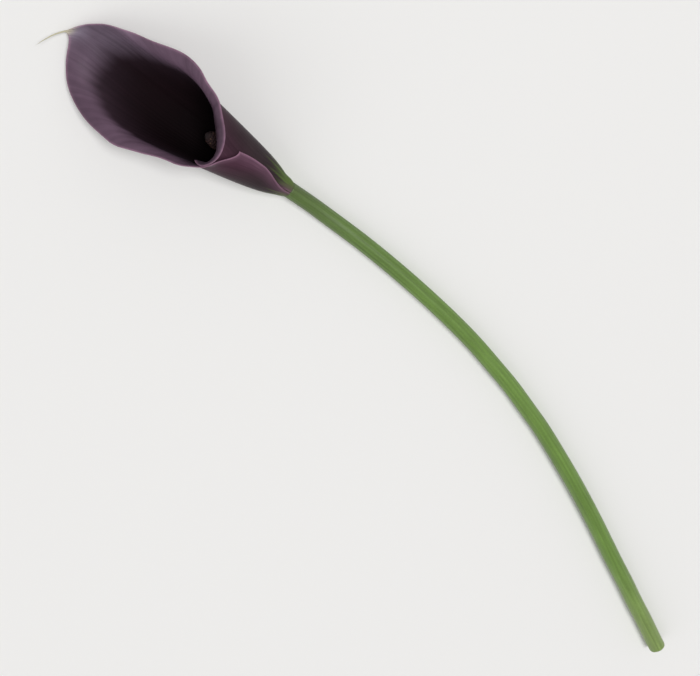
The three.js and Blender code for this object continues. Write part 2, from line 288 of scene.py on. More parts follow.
# %% Height and place of the head, from the solid's own grid
COARSE_AROUND = 57
COARSE_ALONG = 29
coarse_steps = [np.linspace(-1, 1, COARSE_AROUND), np.linspace(0, 1, COARSE_ALONG)]
coarse_u, coarse_v = np.meshgrid(*coarse_steps, indexing="ij")
coarse_angle, coarse_m, _ = grid_place(coarse_u, coarse_v)
coarse_out = blade_normal(coarse_angle, coarse_m)
coarse_mid = blade_point(coarse_angle, coarse_m)
coarse_mid = coarse_mid - coarse_out * wrap_offset(coarse_angle, coarse_m)[..., None]
coarse_half = SOLID_THICKNESS / 2 * coarse_out
coarse_flat = np.concatenate([coarse_mid + coarse_half, coarse_mid - coarse_half]) @ HEAD_AXES
BASE_HEIGHT = -coarse_flat[:COARSE_AROUND, :, 2].min() - REST_DEPTH
coarse_low = (coarse_flat @ TURN).reshape(-1, 3).min(0)
solid_low = np.array(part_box("spathe")[0]) / MM
SHIFT = np.array([solid_low[0] - coarse_low[0], solid_low[1] - coarse_low[1], 0])


def to_frame(points):
    """Turns points in millimetres about Z by the heading and moves them to the frame."""
    return points @ TURN + SHIFT


def head_to_frame(points):
    """Head axes (side, back, along) to the frame, in millimetres."""
    return to_frame(points @ HEAD_AXES + np.array([0, 0, BASE_HEIGHT]))


print("neck height in mm:", round(float(BASE_HEIGHT), 2), "shift in mm:", SHIFT.round(2))

# %% [markdown]
# ## Closed skins from grids
# A leaf has two faces. Both are the same grid, set off to either side, and a strip of faces joins
# them round the edge, so that the surface is closed and its faces look outwards. The stalk and
# the spike are tubes: rows of rings with a point in the middle of each end. Whole arrays of
# corner numbers are worked out at once, and `from_pydata` takes them.


# %% Mesh builders
def new_piece(name, points, faces):
    """Smooth mesh object at the origin, its place in its mesh, from points in millimetres."""
    mesh = bpy.data.meshes.new(name)
    mesh.from_pydata((points * MM).tolist(), [], faces)
    mesh.polygons.foreach_set("use_smooth", [True] * len(mesh.polygons))
    mesh.update()
    piece = bpy.data.objects.new(name, mesh)
    bpy.context.scene.collection.objects.link(piece)
    return piece


def quads(rows, columns, closed=False):
    """Corner numbers of a grid's cells, row by row. Closed joins the last column to the first."""
    last = columns if closed else columns - 1
    i, j = np.meshgrid(np.arange(rows - 1), np.arange(last), indexing="ij")
    right = (j + 1) % columns
    a = i * columns + j
    b = i * columns + right
    return np.stack([a, b, b + columns, a + columns], -1).reshape(-1, 4)


def leaf_faces(rows, columns):
    """Two grids and the strip between their edges. The first grid is the outer face."""
    n = rows * columns
    outer = quads(rows, columns)
    inner = outer[:, ::-1] + n
    first = np.arange(columns)
    right = np.arange(1, rows) * columns + columns - 1
    last = (rows - 1) * columns + np.arange(columns - 2, -1, -1)
    left = np.arange(rows - 2, 0, -1) * columns
    loop = np.concatenate([first, right, last, left])
    after = np.roll(loop, -1)
    strip = np.stack([after, loop, loop + n, after + n], -1)
    return np.concatenate([outer, inner, strip])


def tube_faces(rows, columns):
    """Rings joined into a tube, with a fan of triangles to a point at both ends."""
    k = np.arange(columns)
    after = (k + 1) % columns
    n = rows * columns
    top = (rows - 1) * columns
    start_fan = np.stack([after, k, np.full(columns, n)], -1)
    end_fan = np.stack([k + top, after + top, np.full(columns, n + 1)], -1)
    return quads(rows, columns, closed=True).tolist() + start_fan.tolist() + end_fan.tolist()


def face_outwards(piece):
    """Turns every face round if the signed volume of the closed skin is below zero."""
    mesh = piece.data
    mesh.calc_loop_triangles()
    corners = np.empty(len(mesh.loop_triangles) * 3, dtype=np.int64)
    mesh.loop_triangles.foreach_get("vertices", corners)
    points = np.empty(len(mesh.vertices) * 3)
    mesh.vertices.foreach_get("co", points)
    a, b, c = points.reshape(-1, 3)[corners].reshape(-1, 3, 3).transpose(1, 0, 2)
    volume = (a * np.cross(b, c)).sum() / 6
    if volume < 0:
        mesh.flip_normals()
    print(piece.name, "triangles:", len(mesh.loop_triangles), "volume cm3:", abs(volume) * 1e6)


print("faces of a leaf of 3 by 4 points:", len(leaf_faces(3, 4)))

# %% [markdown]
# ## The living leaf
# A fresh spathe is about a millimetre thick at the stalk and a little more than half that at the
# rim, with a soft rounded edge. It is never a perfect funnel: it carries slow swells, a ripple
# along the margin, a shallow groove inside along the midrib and faint ridges over its long veins.
# The swells and ripples are waves that repeat in whole numbers round the funnel, so that where the
# margins overlap both layers swell together and never cut through each other.


# %% Thickness at each place
TAIL_START = LENGTH_BACK + POINT_LENGTH
TIP_RADIUS = float(blade_point(np.zeros(1), np.array([TAIL_START]))[0, 1])
THICK_AT_STALK = 1.1
THICK_LOSS = 0.5
BLADE_ROUND = 0.55
LEAST_THICK = 0.02


def tail_half_width(m):
    """Millimetres from the middle of the tail to its side at the length m, down to none."""
    left = np.clip(1 - (m - TAIL_START) / TAIL_LENGTH, 0, 1)
    return TAIL_HALF_WIDTH * TIP_RADIUS * left**TAIL_TAPER


def edge_distance(u, angle, m, length):
    """Millimetres to the nearest free edge: the rim, a margin, or the side of the tail."""
    funnel_radius = 6 + 0.32 * m
    to_rim = length - m
    to_margin = (1 - np.abs(u)) * (np.pi + 0.5) * funnel_radius
    to_side = tail_half_width(m) + 2 * np.clip(TAIL_START - m, 0, None) - TIP_RADIUS * np.abs(angle)
    to_side = np.where(np.abs(u) < TAIL_SHARE, np.clip(to_side, 0, None), to_rim)
    return np.minimum(np.minimum(to_rim, to_margin), to_side)


def rim_distance(angle, m, edge):
    """Millimetres to the rim as if the leaf had no tail, and none in the tail itself."""
    to_rim = rim_length(angle) + POINT_LENGTH * np.exp(-np.abs(angle) / POINT_WIDTH) - m
    return np.minimum(edge, np.clip(to_rim, 0, None))


def thickness(v, m, angle, edge):
    """Fleshy at the stalk, thin at the rim, and a round tapering tail. Near an edge this is times
    the root of 1 - (1 - near)^2, a quarter of a circle."""
    beside = 1 - smooth(1.2, 3.5, TIP_RADIUS * np.abs(angle))
    tail = smooth(TAIL_START - 5, TAIL_START + 1, m) * beside
    width = tail_half_width(m)
    rib = 0.5 * bell(TIP_RADIUS * angle, 3.0) * smooth(TAIL_START - 18, TAIL_START, m)
    body = THICK_AT_STALK - THICK_LOSS * smooth(0.1, 1.0, v) + rib
    body = body + (1.35 * width - body) * tail
    round_off = BLADE_ROUND + (np.maximum(width, 0.1) - BLADE_ROUND) * tail
    near = np.clip(edge / round_off, 0, 1)
    return body * np.sqrt(np.clip(1 - (1 - near) ** 2, 0, 1)) + LEAST_THICK


print("radius of the funnel's back at the tip in mm:", round(TIP_RADIUS, 1))


# %% Waves and veins
def swell(v, angle, m, from_rim):
    """Offset along the normal in mm: slow swells, a ripple along the margin, and the midrib."""
    slow = 0.7 * np.sin(3 * angle + 0.045 * m + 0.7) * smooth(0.25, 0.9, v)
    quick = 0.32 * np.sin(5 * angle - 0.07 * m + 2.1) * smooth(0.3, 1.0, v)
    ripple = 0.55 * np.sin(9 * angle + 0.4) + 0.35 * np.sin(14 * angle + 1.9)
    ripple = ripple * bell(from_rim, 8.0) * smooth(0.5, 0.9, v)
    ripple = ripple * (1 - 0.8 * hump(angle, np.pi, 0.7))
    midrib = 0.35 * bell(angle * (6 + 0.3 * m), 2.2) * smooth(0.15, 0.5, v)
    return slow + quick + ripple + midrib


def vein_ridge(u, v):
    """Ridges 0.035 mm high that follow the long veins, 31 on each side, and none near the tip."""
    kept = 1 - (1 - smooth(0.06, 0.2, np.abs(u))) * smooth(0.4, 0.75, v)
    faded = smooth(0.05, 0.3, v) * (1 - smooth(0.93, 1.0, v))
    return 0.035 * np.sin(2 * np.pi * 31 * u) * kept * faded


# %% [markdown]
# ## The spathe as one skin
# The grid lines are packed closer towards the rim, the margins and the tail, where the skin has to
# round off or turn. The outer face then rests on the surface: where the formula would take it
# below, the soft leaf gives way, which a square-root blend does without a crease.

# %% Build the spathe
SPATHE_ROWS = 261
SPATHE_COLUMNS = 151
REST_SOFTNESS = 0.5
even_u = np.linspace(-1, 1, SPATHE_ROWS)
even_v = np.linspace(0, 1, SPATHE_COLUMNS)
packed_u = np.sign(even_u) * (1 - (1 - np.abs(even_u) ** 1.6) ** 1.25)
packed_v = 1 - (1 - even_v) ** 1.45
U, V = np.meshgrid(packed_u, packed_v, indexing="ij")
ANGLE, M, LENGTH = grid_place(U, V)
EDGE = edge_distance(U, ANGLE, M, LENGTH)
FROM_RIM = rim_distance(ANGLE, M, EDGE)
OUT = blade_normal(ANGLE, M)
offset = swell(V, ANGLE, M, FROM_RIM) - wrap_offset(ANGLE, M)
middle = blade_point(ANGLE, M) + OUT * offset[..., None]
half = OUT * (thickness(V, M, ANGLE, EDGE) / 2)[..., None]
ridge = OUT * vein_ridge(U, V)[..., None]
outer_skin = head_to_frame(middle + half + ridge)
inner_skin = head_to_frame(middle - half + ridge)
height = outer_skin[..., 2]
lift = (np.sqrt(height**2 + REST_SOFTNESS**2) - height) / 2
outer_skin[..., 2] += lift
inner_skin[..., 2] += lift
spathe_points = np.concatenate([outer_skin.reshape(-1, 3), inner_skin.reshape(-1, 3)])
spathe = new_piece("spathe_leaf", spathe_points, leaf_faces(SPATHE_ROWS, SPATHE_COLUMNS).tolist())
face_outwards(spathe)
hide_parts("spathe")
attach(spathe, "root")
print("lowest point of the leaf in mm:", spathe_points[:, 2].min().round(3))

# %% [markdown]
# ## The colours of the leaf
# Near-black aubergine fills the throat and gives way to a dusky mauve band along the rim, greyer
# towards the tip and edged with a thin pinker line. The outside is a duller slate plum, darker low
# down, with a little green where it grows from the stalk, and the tail is cream. A texture could
# hold this, but the change follows the leaf's own lengths, so it is worked out for every corner of
# the mesh from the same `u`, `v` and distance from the rim.
# The broad mauve haze over the inside is painted sheen, and the lighter and darker sides of the band
# are painted light and shade.


# %% Paint of the inside
def mix(a, b, t):
    """Blend of two colours, with t an array."""
    return a + (b - a) * t[..., None]


def paint_inside(v, m, angle, edge, tail):
    """Black throat, a painted mauve sheen, a paler band by the rim with painted light and shade on
    its sides, edge line and tip. Edge is in mm.
    """
    throat = np.array([0.0026, 0.0010, 0.0014])
    bowl = np.array([0.0062, 0.0022, 0.0034])
    painted_sheen = np.array([0.050, 0.029, 0.043])
    band = np.array([0.140, 0.086, 0.128])
    tip_band = np.array([0.138, 0.103, 0.141])
    line = np.array([0.36, 0.20, 0.29])
    tip = np.array([0.30, 0.26, 0.33])
    cream = np.array([0.53, 0.50, 0.34])
    drift = 0.05 * np.sin(3 * angle + 1.2) + 0.03 * np.sin(7 * angle)
    front = smooth(1.7, 2.5, np.abs(wrapped(angle)))
    low = hump(angle, -1.5, 0.3)
    reach = 14 + 8 * hump(angle, 0.0, 0.35) + 5 * hump(angle, 0.7, 0.5) - 9 * front + 4 * low
    reach = reach + 0.9 * np.sin(19 * angle + 0.7) * np.sin(5 * angle + 2) + 0.5 * np.sin(43 * angle)
    soft = 4 + 6 * hump(angle, 0.25, 0.8) - 1.2 * low
    # Painted light and shade on the band: its left side is painted darker, most at the very edge, so
    # its inner crest reads as a painted highlight, and its upper side is painted lighter, as if the
    # light fell on it.
    left = hump(angle, -1.0, 0.5) * (0.36 - 0.12 * smooth(1, 10, edge))
    top = hump(angle, 0.5, 0.4) * (0.45 - 0.4 * smooth(7, 19, edge))
    band_with_painted_light = mix(band, tip_band, hump(angle, 0.2, 0.6)) * (1 - left + top)[..., None]
    colour = mix(throat, bowl, smooth(0.3, 0.75, v + drift))
    # Painted sheen: a wide greyish mauve haze for the soft reflection of the light on the satin skin,
    # strongest towards the tip and the left.
    painted_sheen_weight = bell(edge, 24) * (0.3 + 0.7 * hump(angle, -0.2, 1.0))
    colour = mix(colour, painted_sheen, painted_sheen_weight * smooth(0.4, 0.75, v))
    rolled = 1 - smooth(reach - soft, reach + soft, edge)
    colour = mix(colour, band_with_painted_light, 0.9 * rolled * (1 - 0.35 * front) * smooth(0.5, 0.8, v))
    colour = mix(colour, line, 0.5 * bell(edge, 0.8))
    colour = mix(colour, tip, 0.6 * bell(angle, 0.13) * smooth(TAIL_START - 12, TAIL_START + 2, m))
    return mix(colour, cream, tail)


# %% Paint of the outside
def paint_outside(v, angle, edge, tail):
    """Green ring at the stalk, dull slate tube, plum limb, paler at the margin. Edge is in mm."""
    green = np.array([0.100, 0.160, 0.037])
    tube = np.array([0.034, 0.022, 0.026])
    limb = np.array([0.056, 0.023, 0.038])
    band = np.array([0.130, 0.066, 0.100])
    line = np.array([0.32, 0.17, 0.25])
    cream = np.array([0.51, 0.49, 0.32])
    drift = 0.04 * np.sin(2 * angle + 0.5) + 0.03 * np.sin(5 * angle)
    streak = 0.035 * np.sin(17 * angle + 0.8) + 0.025 * np.sin(29 * angle + 2.0)
    colour = mix(green, tube, smooth(0.02, 0.24, v + 0.5 * drift + streak * smooth(0, 0.05, v)))
    colour = mix(colour, limb, smooth(0.3, 0.85, v + drift))
    colour = mix(colour, band, 0.8 * bell(edge, 5.0))
    colour = mix(colour, line, 0.7 * bell(edge, 0.9))
    return mix(colour, cream, tail)


tail_share = smooth(TAIL_START - 3, TAIL_START + 4, M) * bell(ANGLE, 0.08)
tint_out = paint_outside(V, ANGLE, FROM_RIM, tail_share)
tint_in = paint_inside(V, M, ANGLE, FROM_RIM, tail_share)
print("paint range:", tint_in.min().round(4), tint_in.max().round(3))

# %% [markdown]
# ## Paint that stays on the mesh
# The colours are stored as an attribute with one value for each point, which the shader reads. A
# second attribute says how matte the skin is: the depth of the funnel has hardly any gloss. A UV
# map with `u` across and `v` along lets the shader draw streaks that run with the veins.


# %% Store the paint of the leaf
def store_colour(piece, name, colours):
    """Keeps one linear colour for each corner point of the mesh."""
    attribute = piece.data.color_attributes.new(name, "FLOAT_COLOR", "POINT")
    rgba = np.ones((len(colours), 4), dtype=np.float32)
    rgba[:, :3] = np.clip(colours, 0, 1)
    attribute.data.foreach_set("color", rgba.ravel())


def store_value(piece, name, values):
    """Keeps one number for each corner point of the mesh."""
    attribute = piece.data.attributes.new(name, "FLOAT", "POINT")
    attribute.data.foreach_set("value", values.astype(np.float32))


def store_place(piece, name, places):
    """Keeps a point (x, y, z) for each corner point of the mesh, for patterns that follow it."""
    attribute = piece.data.attributes.new(name, "FLOAT_VECTOR", "POINT")
    attribute.data.foreach_set("vector", places.astype(np.float32).ravel())


def store_uv(piece, name, uv):
    """Keeps a (u, v) pair for each corner point, handed out to the faces' corners."""
    layer = piece.data.uv_layers.new(name=name)
    corner = np.empty(len(piece.data.loops), dtype=np.int64)
    piece.data.loops.foreach_get("vertex_index", corner)
    layer.data.foreach_set("uv", uv[corner].astype(np.float32).ravel())


matte_in = smooth(10, 30, EDGE)
matte_out = np.zeros(U.shape)
one_side_uv = np.stack([U.ravel() * 0.5 + 0.5, V.ravel()], -1)
store_colour(spathe, "tint", np.concatenate([tint_out.reshape(-1, 3), tint_in.reshape(-1, 3)]))
store_value(spathe, "matte", np.concatenate([matte_out.ravel(), matte_in.ravel()]))
store_uv(spathe, "leaf", np.concatenate([one_side_uv, one_side_uv]))
print("painted points of the leaf:", len(spathe.data.vertices))

# %% [markdown]
# ## Tools for shaders
# The three materials are built the same way: a painted tint times a little noise for the colour,
# the same noise for the roughness, and a low bump. Each helper adds a node or two and joins them
# up, so that a material reads as a short list of steps.

# %% Shader helpers
NOISE_ROUGHNESS = 0.55


def new_material(name):
    """Material with an empty tree, its Principled shader and the output joined."""
    material = bpy.data.materials.new(name)
    material.use_nodes = True
    tree = material.node_tree
    tree.nodes.clear()
    shader = tree.nodes.new("ShaderNodeBsdfPrincipled")
    output = tree.nodes.new("ShaderNodeOutputMaterial")
    tree.links.new(shader.outputs["BSDF"], output.inputs["Surface"])
    return material, tree, shader


def stored(tree, name):
    """Outputs of a node that reads a stored attribute of the mesh by its name."""
    node = tree.nodes.new("ShaderNodeAttribute")
    node.attribute_name = name
    return node.outputs


def noise(tree, vector, scale, detail):
    """Noise texture on a vector, with its factor as the result."""
    node = tree.nodes.new("ShaderNodeTexNoise")
    node.inputs["Scale"].default_value = scale
    node.inputs["Detail"].default_value = detail
    node.inputs["Roughness"].default_value = NOISE_ROUGHNESS
    tree.links.new(vector, node.inputs["Vector"])
    return node.outputs["Fac"]


def stretched(tree, source, scale):
    """The same coordinates, drawn out by a different factor along each axis."""
    node = tree.nodes.new("ShaderNodeMapping")
    node.inputs["Scale"].default_value = scale
    tree.links.new(source, node.inputs["Vector"])
    return node.outputs["Vector"]


def ramp(tree, factor, low, high, start=0.0, end=1.0):
    """Maps a factor from start..end to low..high."""
    node = tree.nodes.new("ShaderNodeMapRange")
    node.inputs["From Min"].default_value = start
    node.inputs["From Max"].default_value = end
    node.inputs["To Min"].default_value = low
    node.inputs["To Max"].default_value = high
    tree.links.new(factor, node.inputs["Value"])
    return node.outputs["Result"]


def math_node(tree, operation, a, b):
    """One sum or product of two sockets, or of a socket and a number."""
    node = tree.nodes.new("ShaderNodeMath")
    node.operation = operation
    tree.links.new(a, node.inputs[0])
    if isinstance(b, float):
        node.inputs[1].default_value = b
    else:
        tree.links.new(b, node.inputs[1])
    return node.outputs["Value"]


def tint_colour(tree, shader, gain):
    """Base colour: the stored tint times a number that varies over the skin."""
    node = tree.nodes.new("ShaderNodeVectorMath")
    node.operation = "SCALE"
    tree.links.new(stored(tree, "tint")["Color"], node.inputs[0])
    tree.links.new(gain, node.inputs["Scale"])
    tree.links.new(node.outputs["Vector"], shader.inputs["Base Color"])


def bump(tree, shader, height, strength, depth_mm):
    """Joins a height to the shader's normal."""
    node = tree.nodes.new("ShaderNodeBump")
    node.inputs["Strength"].default_value = strength
    node.inputs["Distance"].default_value = depth_mm * MM
    tree.links.new(height, node.inputs["Height"])
    tree.links.new(node.outputs["Normal"], shader.inputs["Normal"])


# %% [markdown]
# ## Waxy skin
# Close up, the leaf is satin: a soft low gloss over a skin of tiny cells, drawn out into fine
# streaks along the veins. The depth of the funnel is velvety and swallows the light. Noise that is
# stretched along the veins varies the tint and the roughness, the matte attribute adds roughness
# inside the bowl, and the same streaks with a fine grain drive a very low bump. A trace of sheen
# gives the bloom that makes turned-away skin look paler.

# %% Material of the leaf
leaf_material, tree, shader = new_material("aubergine_leaf")
leaf_uv = tree.nodes.new("ShaderNodeUVMap")
leaf_uv.uv_map = "leaf"
object_place = tree.nodes.new("ShaderNodeTexCoord").outputs["Object"]
streaks = noise(tree, stretched(tree, leaf_uv.outputs["UV"], (90, 2.2, 1)), scale=1.0, detail=4.0)
fine_streaks = noise(tree, stretched(tree, leaf_uv.outputs["UV"], (260, 5, 1)), scale=1.0, detail=2.0)
blotches = noise(tree, object_place, scale=38.0, detail=3.0)
grain = noise(tree, object_place, scale=2600.0, detail=2.0)
streak_gain = ramp(tree, streaks, low=0.84, high=1.18, start=0.3, end=0.7)
blotch_gain = ramp(tree, blotches, low=0.82, high=1.2, start=0.3, end=0.7)
tint_colour(tree, shader, math_node(tree, "MULTIPLY", streak_gain, blotch_gain))
blotch_rough = ramp(tree, blotches, low=-0.05, high=0.05)
rough = math_node(tree, "ADD", blotch_rough, ramp(tree, streaks, low=0.36, high=0.5))
bowl_rough = math_node(tree, "MULTIPLY", stored(tree, "matte")["Fac"], 0.38)
tree.links.new(math_node(tree, "ADD", rough, bowl_rough), shader.inputs["Roughness"])
relief = math_node(tree, "ADD", math_node(tree, "MULTIPLY", fine_streaks, 0.7), streaks)
relief = math_node(tree, "ADD", relief, math_node(tree, "MULTIPLY", grain, 0.35))
bump(tree, shader, relief, strength=0.35, depth_mm=0.12)
shader.inputs["Specular IOR Level"].default_value = 0.07
shader.inputs["Sheen Weight"].default_value = 0.025
shader.inputs["Sheen Roughness"].default_value = 0.35
shader.inputs["Sheen Tint"].default_value = (0.8, 0.62, 0.85, 1)
spathe.data.materials.append(leaf_material)
print("nodes in the leaf's material:", len(tree.nodes))

# %% [markdown]
# ## The scape
# The stalk is round, smooth and a little thicker towards the cut. It leaves the flower rising, so
# below the neck it bends down until it lies on the surface, and then runs on in one slow curve. A
# bevelled curve object would do, but a formula keeps it in step with the solid: the heading fades
# smoothly from none to its full turn, and the height falls by a parabola.


# %% Centre line of the scape
LINE_STEPS = 60


def scape_radius(s):
    """Radius at s mm behind the neck: the neck's, with a smooth fade to that of the cut end."""
    return NECK_RADIUS + (CUT_RADIUS - NECK_RADIUS) * smooth(0, SCAPE_LENGTH, s)


def scape_line(s):
    """(x, y, z) at s mm behind the neck: steps along a turning heading, parabola in height."""
    part = (np.arange(LINE_STEPS) + 0.5) / LINE_STEPS
    along = s[..., None] * part
    yaw = SCAPE_TURN * smooth(0, SCAPE_BEND, along)
    x = -np.cos(yaw).mean(-1) * s
    y = np.sin(yaw).mean(-1) * s
    drop = BASE_HEIGHT - NECK_RADIUS
    reach = 2 * drop / math.tan(TILT)
    left = np.clip(1 - s / reach, 0, None)
    return np.stack([x, y, scape_radius(s) + drop * left**2], -1)


def scape_frame(s):
    """Directions at s: forward to the head, right, and up, each of length one."""
    forward = scape_line(np.maximum(s - 0.5, 0)) - scape_line(np.maximum(s - 0.5, 0) + 1)
    forward[s < 0.5] = axis_dir
    forward = forward / np.linalg.norm(forward, axis=-1, keepdims=True)
    right = np.cross(forward, np.array([0, 0, 1.0]))
    right = right / np.linalg.norm(right, axis=-1, keepdims=True)
    return forward, right, np.cross(right, forward)


print("end of the stalk's line in mm:", scape_line(np.array([SCAPE_LENGTH]))[0].round(1))

# %% [markdown]
# ## A cut that was made with a knife
# The skin of the stalk is carried along that line as a row of rings, with soft ribs, a slightly
# egg-shaped section and small swellings, which fade out underneath, where it lies. At the neck it
# narrows into the short peg on which the flower sits. At the other end the knife left a slanting
# face: the last rings shrink inwards over it, and the soft pith in the middle has sunk a little.

# %% Rings of the scape
SIDES = 72
BODY_RINGS = 560
CUT_SHARES = np.array([0.0, 0.25, 0.5, 0.75, 0.9, 0.97])
CUT_ROUND = 0.28
PITH_SINK = 0.55
NECK_S = 0.17
PEG_S = np.array([0.15, 0.0])
PEG_RADII = np.array([3.7, 3.4])
PEG_HEIGHT = 2.6
cut_rings = len(CUT_SHARES)
body_s = np.linspace(NECK_S, SCAPE_LENGTH, BODY_RINGS)[::-1]
ring_s = np.concatenate([np.full(cut_rings, SCAPE_LENGTH), body_s, PEG_S])
ring_share = np.concatenate([CUT_SHARES, np.ones(BODY_RINGS), PEG_RADII / NECK_RADIUS])
ring_number = np.arange(len(ring_s))
is_cut = ring_number <= cut_rings
side_phi = 2 * np.pi * (np.arange(SIDES) + 0.5) / SIDES
S, PHI = np.meshgrid(ring_s, side_phi, indexing="ij")
ribs = 0.045 * np.sin(14 * PHI + 0.6 * np.sin(S / 60)) + 0.03 * np.sin(23 * PHI + 1.3)
egg = 0.12 * np.cos(2 * PHI + S / 140) * smooth(8, 40, S)
lumps = 0.10 * np.sin(S / 9.0 + 2 * np.sin(S / 31) + PHI) * smooth(5, 30, S)
cut_edge = CUT_ROUND * bell(SCAPE_LENGTH - S, 0.5)
ring_radius = (scape_radius(S) + ribs + egg + lumps - cut_edge) * ring_share[:, None]
underneath = np.clip(-np.sin(PHI), 0, None) * smooth(90, 130, S)
ring_radius = ring_radius - underneath * (ribs + egg + lumps)
ring_across = ring_radius * np.cos(PHI)
ring_upward = ring_radius * np.sin(PHI)
print("rings of the stalk:", len(ring_s), "radius in mm up to:", ring_radius.max().round(2))

# %% Build the scape
LEAST_HEIGHT = 0.02
forward, right, up = scape_frame(ring_s)
slanted = np.where(is_cut[:, None], 1.0, bell(SCAPE_LENGTH - S, 6.0)) * CUT_SLANT * ring_upward
sunk = np.where(is_cut, PITH_SINK * bell(ring_share, 0.55), 0)[:, None]
peg = np.where(ring_number == ring_number[-1], PEG_HEIGHT, 0)[:, None]
rings = scape_line(ring_s)[:, None, :]
rings = rings + ring_across[..., None] * right[:, None, :] + ring_upward[..., None] * up[:, None, :]
rings = rings + (slanted + sunk + peg)[..., None] * forward[:, None, :]
end_middles = [rings[0].mean(0), rings[-1].mean(0)]
scape_points = to_frame(np.concatenate([rings.reshape(-1, 3), end_middles]))
scape_points[:, 2] = np.maximum(scape_points[:, 2], LEAST_HEIGHT)
scape = new_piece("scape_stalk", scape_points, tube_faces(len(ring_s), SIDES))
face_outwards(scape)
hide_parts("scape")
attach(scape, "root")
print("stalk from x", scape_points[:, 0].min().round(1), "to", scape_points[:, 0].max().round(1))

# %% [markdown]
# ## Green of the stalk
# The stalk is a fresh mid green, flushed with plum near the flower and paler where it stood in
# water. The cut face shows pale wet pith with a ring of darker strands. These follow the length
# and the distance from the middle, so they are painted like the leaf. A second attribute keeps each
# point's place on the stalk as if it were straight: across, upward and along.

# %% Paint the scape
share = np.repeat(ring_share, SIDES)
length_s = S.ravel()
around = PHI.ravel()
cut_face = np.repeat(is_cut & (ring_share < 0.99), SIDES)
green = np.array([0.130, 0.230, 0.042])
young = np.array([0.100, 0.170, 0.038])
pale = np.array([0.22, 0.30, 0.095])
plum = np.array([0.045, 0.022, 0.026])
pith = np.array([0.42, 0.46, 0.22])
strand = np.array([0.20, 0.27, 0.07])
rind = np.array([0.12, 0.18, 0.04])
skin = mix(young, green, smooth(15, 120, length_s))
skin = mix(skin, pale, 0.75 * smooth(330, 425, length_s))
flush = bell(length_s, 26.0) * (0.75 + 0.25 * np.sin(2 * around + length_s / 7))
skin = mix(skin, plum, 0.25 * flush)
skin = skin * (1 + 0.08 * np.sin(14 * around + 0.5) * smooth(10, 60, length_s))[:, None]
strands = 0.5 + 0.5 * np.sin(13 * around + 20 * share)
pith_colour = mix(pith, strand, bell(share - 0.78, 0.13) * strands)
pith_colour = mix(pith_colour, rind, smooth(0.9, 1.0, share))
scape_tint = np.where(cut_face[:, None], pith_colour, skin)
store_colour(scape, "tint", np.concatenate([scape_tint, [pith, green]]))
straight_place = np.stack([ring_across.ravel(), ring_upward.ravel(), length_s], -1)
straight_ends = [[0, 0, SCAPE_LENGTH], [0, 0, 0]]
store_place(scape, "straight", np.concatenate([straight_place, straight_ends]) * MM)
print("painted points of the stalk:", len(scape.data.vertices))

# %% [markdown]
# ## Fibres and specks
# Under its thin clear skin the stalk shows long faint fibres and tiny pale specks. Noise on plain
# Object coordinates would cut across the bend, so it reads the straightened place instead, drawn
# out along the length for the fibres. A little light goes into the juicy tissue and out again.

# %% Material of the stalk
stalk_material, tree, shader = new_material("green_stalk")
straight = stored(tree, "straight")["Vector"]
streaks = noise(tree, stretched(tree, straight, (1, 1, 0.03)), scale=900.0, detail=3.0)
specks = noise(tree, straight, scale=1100.0, detail=2.0)
clouds = noise(tree, stretched(tree, straight, (1, 1, 0.3)), scale=60.0, detail=3.0)
streak_gain = ramp(tree, streaks, low=0.82, high=1.2, start=0.3, end=0.7)
cloud_gain = ramp(tree, clouds, low=0.88, high=1.12, start=0.3, end=0.7)
speck_gain = ramp(tree, specks, low=0.94, high=1.08, start=0.35, end=0.65)
gain = math_node(tree, "MULTIPLY", streak_gain, cloud_gain)
tint_colour(tree, shader, math_node(tree, "MULTIPLY", gain, speck_gain))
tree.links.new(ramp(tree, clouds, low=0.36, high=0.5), shader.inputs["Roughness"])
relief = math_node(tree, "ADD", streaks, math_node(tree, "MULTIPLY", specks, 0.5))
bump(tree, shader, relief, strength=0.4, depth_mm=0.15)
shader.inputs["Specular IOR Level"].default_value = 0.5
shader.inputs["Subsurface Weight"].default_value = 0.08
shader.inputs["Subsurface Radius"].default_value = (0.0012, 0.0016, 0.0006)
scape.data.materials.append(stalk_material)
print("nodes in the stalk's material:", len(tree.nodes))

# %% [markdown]
# ## The spadix
# The spike is packed with florets: round green ovaries at its foot, and above them hundreds of
# small cushions of pollen sacs. Setting a separate bead for each would cost far more faces. As
# they are so regular, one tube does it, whose radius rises in a staggered grid of little domes.
# A fixed formula makes each cushion a bit higher or lower than the next, and cuts a slit into it
# that runs along the spike.

# %% Florets by formula
OVARY_COUNT = 10
OVARY_STEP = 2.2
CUSHION_COUNT = 16
CUSHION_STEP = 1.35
CUSHIONS_FROM = 11.6
CUSHIONS_ONLY = 12.8


def spike_radius(t):
    """Radius along the spike: narrow foot, a slight waist over the ovaries, a round tip."""
    foot = 0.84 + 0.16 * smooth(0, 0.12, t)
    waist = 1 - 0.1 * bell(t - 0.27, 0.06)
    belly = 1 + 0.07 * np.sin(np.pi * np.clip((t - 0.3) / 0.7, 0, 1))
    tip = np.sqrt(np.clip(1 - np.clip((t - 0.86) / 0.14, 0, 1) ** 2, 0, 1))
    return SPADIX_RADIUS * foot * waist * belly * tip


def dome_grid(phi, z, count, step):
    """Distance from the nearest floret's middle, 0 there and 1 half a step away, its tone, and
    the part of the distance that runs round the spike. The tone is the fraction of a large
    multiple of a sine of the floret's row and column: from 0 to 1, uneven, and always the same."""
    row = np.round(z / step)
    shift = 0.5 * (row % 2)
    column = phi / (2 * np.pi) * count - shift
    near = np.round(column)
    dx = (column - near) * 2
    dz = (z / step - row) * 2
    tone = np.sin(12.9898 * (near % count) + 78.233 * row) * 43758.5453
    tone = tone - np.floor(tone)
    return np.sqrt(dx**2 + dz**2), tone, dx


